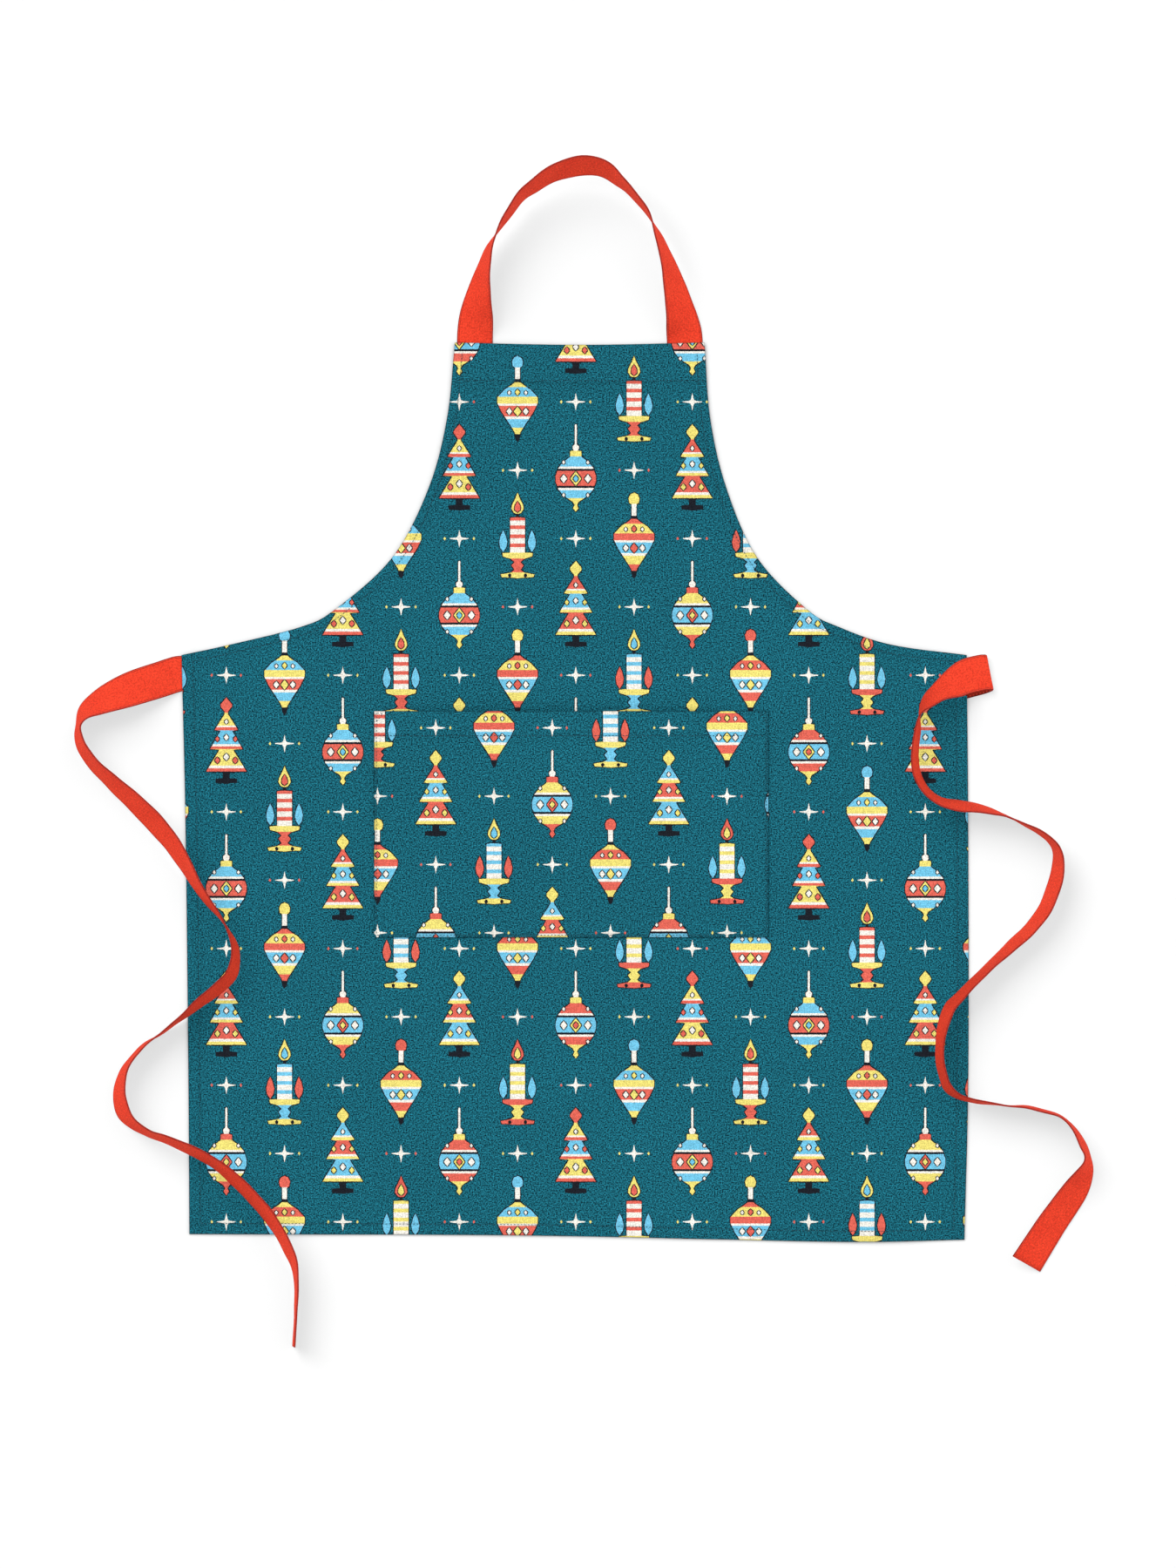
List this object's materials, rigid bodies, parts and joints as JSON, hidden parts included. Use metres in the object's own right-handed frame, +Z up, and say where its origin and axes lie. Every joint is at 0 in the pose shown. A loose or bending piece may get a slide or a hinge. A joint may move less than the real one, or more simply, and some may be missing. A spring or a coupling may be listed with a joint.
{
  "type": "bib apron",
  "caption": "Canvas bib apron lying flat, with curved armholes, a wide patch pocket, a fixed neck strap and waist ties of folded tape; worn over clothes to keep them clean.",
  "frame": {"origin": "middle of the waist line on the panel's back, which lies on the surface", "axes": "+Z up through the cloth, towards its front side; +Y from the waist to the neck; +X to the wearer's left"},
  "size_m": [0.9118, 1.0627, 0.0496],
  "materials": {
    "canvas": "matt printed cotton canvas, teal ground",
    "pocket_canvas": "matt printed cotton canvas, teal ground",
    "tape": "matt folded cotton twill tape, orange red"
  },
  "bodies": {
    "root": {"panel": "canvas", "pocket": "pocket_canvas", "neck_strap": "tape", "waist_tie_left": "tape", "waist_tie_right": "tape"}
  },
  "joints": []
}
